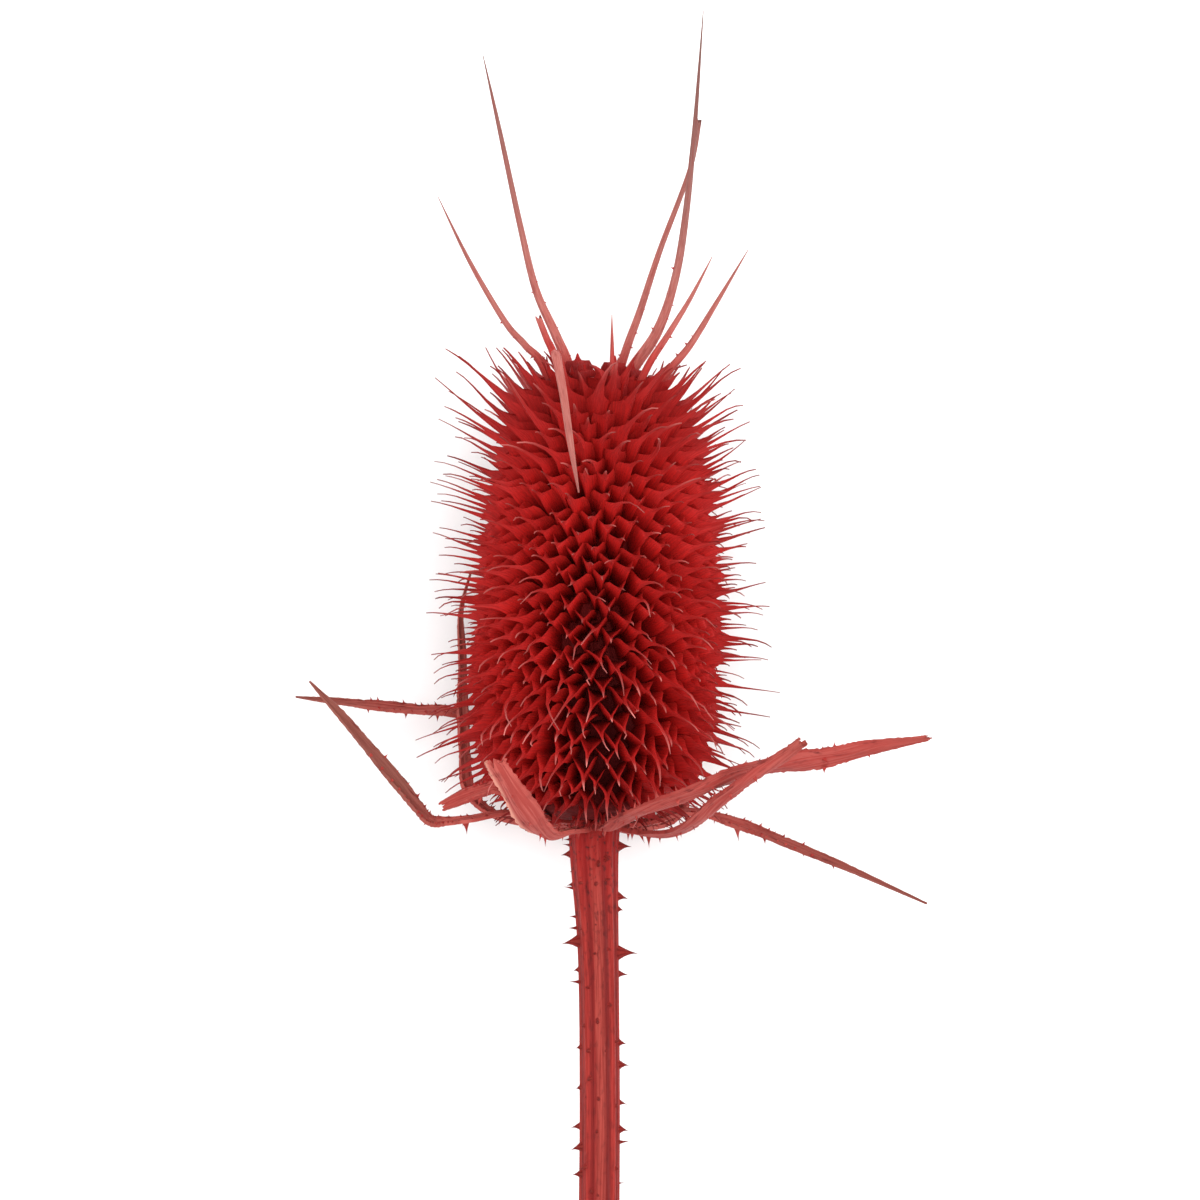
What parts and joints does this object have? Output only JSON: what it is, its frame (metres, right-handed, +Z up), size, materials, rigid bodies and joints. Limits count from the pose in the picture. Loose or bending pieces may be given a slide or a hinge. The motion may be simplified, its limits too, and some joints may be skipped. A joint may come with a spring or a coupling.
{
  "type": "teasel seed head",
  "caption": "Dried, dyed teasel seed head with spiny scales, long crown awns, thorny bracts and a short prickly stem, lying on its side.",
  "frame": {"origin": "on the surface it lies on, below the middle of the whole", "axes": "+Y along the plant, from the cut stem to the crown; +Z up, towards the side in the picture; +X to the picture's right"},
  "size_m": [0.1019, 0.195, 0.0558],
  "materials": {
    "head": "dry dyed plant, dull, paler at the awns' tips",
    "stem": "dry dyed plant, dull, mottled",
    "bract": "dry dyed plant, dull, paler than the head"
  },
  "bodies": {
    "root": {"head": "head", "stem": "stem", "bract_left_elbow": "bract", "bract_left_back": "bract", "bract_left_upright": "bract", "bract_left_stub": "bract", "bract_front_short": "bract", "bract_right_long": "bract", "bract_right_raised": "bract", "bract_right_drooping": "bract", "bract_under_left": "bract", "bract_under_right": "bract"}
  },
  "joints": []
}
